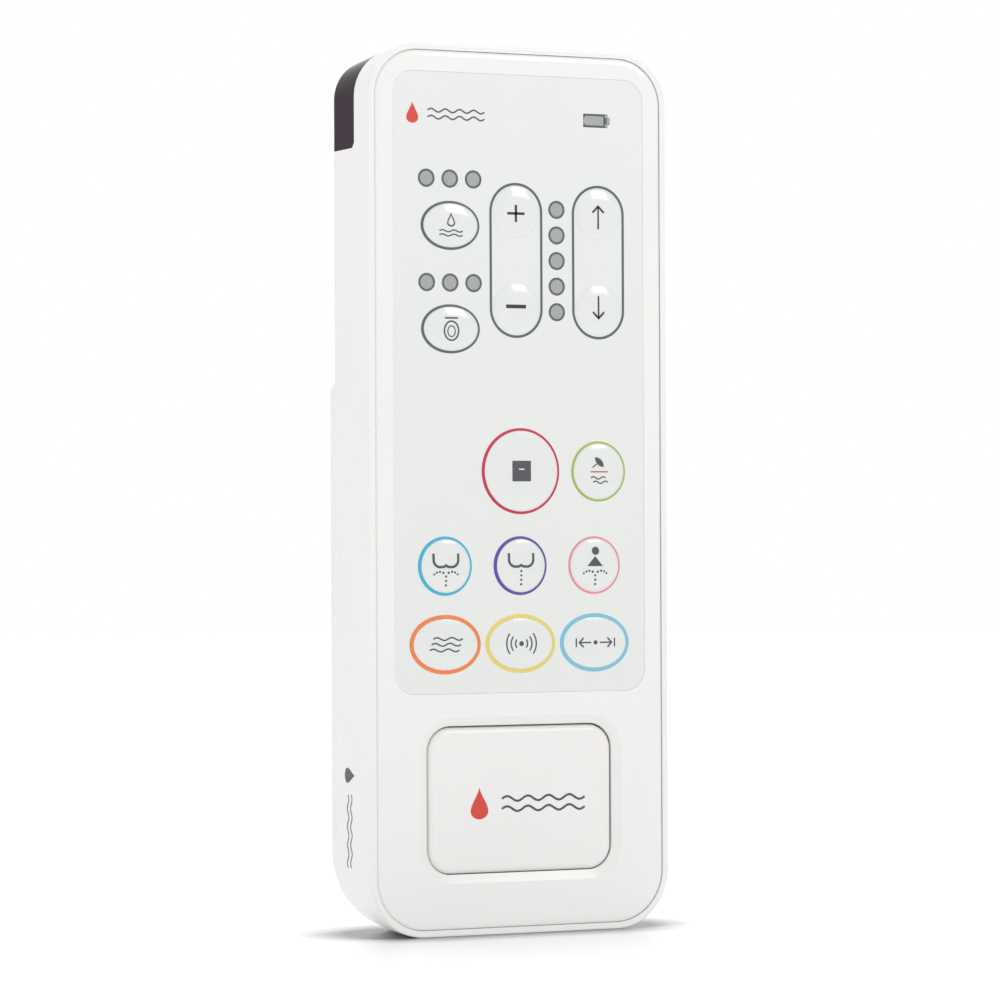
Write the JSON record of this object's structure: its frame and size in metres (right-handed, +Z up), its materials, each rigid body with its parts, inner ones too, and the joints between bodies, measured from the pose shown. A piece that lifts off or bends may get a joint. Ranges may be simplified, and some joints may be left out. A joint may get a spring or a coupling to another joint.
{
  "type": "bidet seat remote control",
  "caption": "Slim upright hand-held remote with domed push keys, indicator lamps, a large lower push plate, infrared window and a tilt-out battery door on its back.",
  "frame": {"origin": "bottom centre of the bounding box, with the remote standing upright on its bottom end", "axes": "+X to the right of someone facing the keys, +Y from the key face to the back, +Z up along the length"},
  "size_m": [0.0676, 0.0237, 0.181],
  "materials": {
    "case_white": "glossy moulded ABS, faint warm white",
    "panel_white": "moulded ABS, slightly warmer and less glossy than the case",
    "label_film": "printed polyester label, satin, pale grey-green",
    "key_film": "domed clear-coated key cap, glossy",
    "window_dark": "infrared-passing dark acrylic, polished",
    "lamp_grey": "unlit smoked light guide",
    "mat_rubber": "moulded silicone rubber, matt",
    "carbon_black": "conductive carbon rubber, matt",
    "board_green": "solder-masked glass-fibre circuit board",
    "led_white": "small surface-mounted lamp",
    "emitter_clear": "tinted clear epoxy lamp",
    "chip_black": "moulded epoxy package",
    "can_steel": "pressed metal can",
    "sleeve_black": "shrunk plastic sleeve",
    "cell_jacket": "printed metal cell jacket; a whole cell weighs about as much as aluminium of its size",
    "contact_nickel": "nickel-plated spring steel",
    "screw_steel": "zinc-plated steel screw"
  },
  "bodies": {
    "case": {"battery_lamp": "lamp_grey", "battery_left": "cell_jacket", "battery_right": "cell_jacket", "board_leds": "led_white", "board_screws": "screw_steel", "capacitor": "sleeve_black", "case_screws": "screw_steel", "contact_pads": "carbon_black", "contact_plates": "contact_nickel", "contact_springs": "contact_nickel", "controller_chip": "chip_black", "crystal": "can_steel", "emitter_driver": "chip_black", "front_cover": "case_white", "infrared_emitters": "emitter_clear", "infrared_window": "window_dark", "key_mat": "mat_rubber", "label": "label_film", "level_lamps": "lamp_grey", "main_board": "board_green", "panel_pad": "mat_rubber", "rear_shell": "case_white", "seat_lamps": "lamp_grey", "water_lamps": "lamp_grey"},
    "water_key": {"water_key": "key_film"},
    "seat_key": {"seat_key": "key_film"},
    "plus_key": {"plus_key": "key_film"},
    "minus_key": {"minus_key": "key_film"},
    "up_key": {"up_key": "key_film"},
    "down_key": {"down_key": "key_film"},
    "stop_key": {"stop_key": "key_film"},
    "eco_key": {"eco_key": "key_film"},
    "wash_key": {"wash_key": "key_film"},
    "rear_wash_key": {"rear_wash_key": "key_film"},
    "front_wash_key": {"front_wash_key": "key_film"},
    "air_dry_key": {"air_dry_key": "key_film"},
    "massage_key": {"massage_key": "key_film"},
    "oscillate_key": {"oscillate_key": "key_film"},
    "panel_key": {"panel_key": "panel_white"},
    "battery_door": {"battery_door": "case_white"}
  },
  "joints": [
    {"name": "water_key_press", "type": "slide", "parent": "case", "child": "water_key", "axis": [0, 1, 0], "range_m": [0, 0.00045], "stiffness_N_per_m": 3500, "springref_m": -0.0001},
    {"name": "seat_key_press", "type": "slide", "parent": "case", "child": "seat_key", "axis": [0, 1, 0], "range_m": [0, 0.00045], "stiffness_N_per_m": 3500, "springref_m": -0.0001},
    {"name": "plus_key_press", "type": "slide", "parent": "case", "child": "plus_key", "axis": [0, 1, 0], "range_m": [0, 0.00045], "stiffness_N_per_m": 3500, "springref_m": -0.0001},
    {"name": "minus_key_press", "type": "slide", "parent": "case", "child": "minus_key", "axis": [0, 1, 0], "range_m": [0, 0.00045], "stiffness_N_per_m": 3500, "springref_m": -0.0001},
    {"name": "up_key_press", "type": "slide", "parent": "case", "child": "up_key", "axis": [0, 1, 0], "range_m": [0, 0.00045], "stiffness_N_per_m": 3500, "springref_m": -0.0001},
    {"name": "down_key_press", "type": "slide", "parent": "case", "child": "down_key", "axis": [0, 1, 0], "range_m": [0, 0.00045], "stiffness_N_per_m": 3500, "springref_m": -0.0001},
    {"name": "stop_key_press", "type": "slide", "parent": "case", "child": "stop_key", "axis": [0, 1, 0], "range_m": [0, 0.00045], "stiffness_N_per_m": 3500, "springref_m": -0.0001},
    {"name": "eco_key_press", "type": "slide", "parent": "case", "child": "eco_key", "axis": [0, 1, 0], "range_m": [0, 0.00045], "stiffness_N_per_m": 3500, "springref_m": -0.0001},
    {"name": "wash_key_press", "type": "slide", "parent": "case", "child": "wash_key", "axis": [0, 1, 0], "range_m": [0, 0.00045], "stiffness_N_per_m": 3500, "springref_m": -0.0001},
    {"name": "rear_wash_key_press", "type": "slide", "parent": "case", "child": "rear_wash_key", "axis": [0, 1, 0], "range_m": [0, 0.00045], "stiffness_N_per_m": 3500, "springref_m": -0.0001},
    {"name": "front_wash_key_press", "type": "slide", "parent": "case", "child": "front_wash_key", "axis": [0, 1, 0], "range_m": [0, 0.00045], "stiffness_N_per_m": 3500, "springref_m": -0.0001},
    {"name": "air_dry_key_press", "type": "slide", "parent": "case", "child": "air_dry_key", "axis": [0, 1, 0], "range_m": [0, 0.00045], "stiffness_N_per_m": 3500, "springref_m": -0.0001},
    {"name": "massage_key_press", "type": "slide", "parent": "case", "child": "massage_key", "axis": [0, 1, 0], "range_m": [0, 0.00045], "stiffness_N_per_m": 3500, "springref_m": -0.0001},
    {"name": "oscillate_key_press", "type": "slide", "parent": "case", "child": "oscillate_key", "axis": [0, 1, 0], "range_m": [0, 0.00045], "stiffness_N_per_m": 3500, "springref_m": -0.0001},
    {"name": "panel_key_press", "type": "slide", "parent": "case", "child": "panel_key", "axis": [0, 1, 0], "range_m": [0, 0.00045], "stiffness_N_per_m": 4500, "springref_m": -0.0001},
    {"name": "battery_door_tilt", "type": "hinge", "parent": "case", "child": "battery_door", "pos_m": [0, 0.01185, 0.027], "axis": [-1, 0, 0], "range_deg": [0, 75]}
  ]
}
